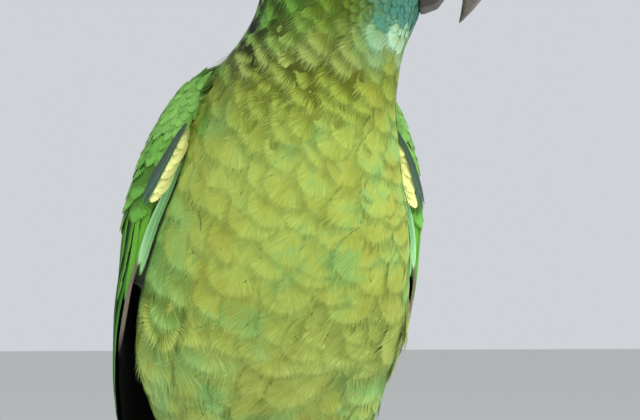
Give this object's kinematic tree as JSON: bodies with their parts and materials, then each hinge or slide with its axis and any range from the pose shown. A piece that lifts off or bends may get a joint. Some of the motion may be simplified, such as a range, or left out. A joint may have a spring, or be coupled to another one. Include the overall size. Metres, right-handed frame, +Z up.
{
  "type": "amazon parrot",
  "caption": "Life-size still amazon parrot, perched upright on a short cut branch with its head turned, held by a plain display stand.",
  "frame": {"origin": "middle of the underside of the stand's base", "axes": "+Z up, -Y the way the bird's breast faces, +X the bird's left; the perch lies along X"},
  "size_m": [0.17, 0.17, 0.3939],
  "materials": {
    "body_feathers": "soft yellow-green overlapping feathers with faint paler and darker edges",
    "neck_feathers": "green feathers, scalloped darker at the edges, turquoise towards the throat",
    "head_feathers": "small green feathers, yellow forecrown and cheeks, violet-blue brow and lores",
    "wing_coverts": "smooth green covert feathers with thin dark edges, yellow along the carpal edge",
    "flight_feathers": "green flight feathers running through violet-blue to black tips, orange-red speculum",
    "tail_feathers": "green tail feathers with paler yellow-green tips and orange-red inner webs",
    "bill_horn": "satin horn, dark grey towards the tip",
    "grey_skin": "fine wrinkled grey bare skin",
    "scaly_skin": "grey scaled skin",
    "claw_horn": "dark satin horn",
    "eye": "wet gloss, orange-red iris round a black pupil",
    "bark": "rough brown bark, pale cut ends",
    "stand_wood": "dark oiled walnut, satin",
    "stand_steel": "satin steel"
  },
  "bodies": {
    "root": {"trunk": "body_feathers", "neck": "neck_feathers", "head": "head_feathers", "tail_coverts": "body_feathers", "thigh_right": "body_feathers", "thigh_left": "body_feathers", "wing_right_coverts": "wing_coverts", "wing_left_coverts": "wing_coverts", "wing_right_secondaries": "flight_feathers", "wing_left_secondaries": "flight_feathers", "wing_right_primaries": "flight_feathers", "wing_left_primaries": "flight_feathers", "tail_feathers": "tail_feathers", "upper_bill": "bill_horn", "lower_bill": "bill_horn", "cere": "grey_skin", "eye_right": "eye", "eye_left": "eye", "tarsus_right": "scaly_skin", "tarsus_left": "scaly_skin", "perch": "bark", "stand_base": "stand_wood", "stand_rod_right": "stand_steel", "stand_rod_left": "stand_steel", "toe_inner_front_right": "scaly_skin", "claw_inner_front_right": "claw_horn", "toe_outer_front_right": "scaly_skin", "claw_outer_front_right": "claw_horn", "toe_inner_back_right": "scaly_skin", "claw_inner_back_right": "claw_horn", "toe_outer_back_right": "scaly_skin", "claw_outer_back_right": "claw_horn", "toe_inner_front_left": "scaly_skin", "claw_inner_front_left": "claw_horn", "toe_outer_front_left": "scaly_skin", "claw_outer_front_left": "claw_horn", "toe_inner_back_left": "scaly_skin", "claw_inner_back_left": "claw_horn", "toe_outer_back_left": "scaly_skin", "claw_outer_back_left": "claw_horn"}
  },
  "joints": []
}
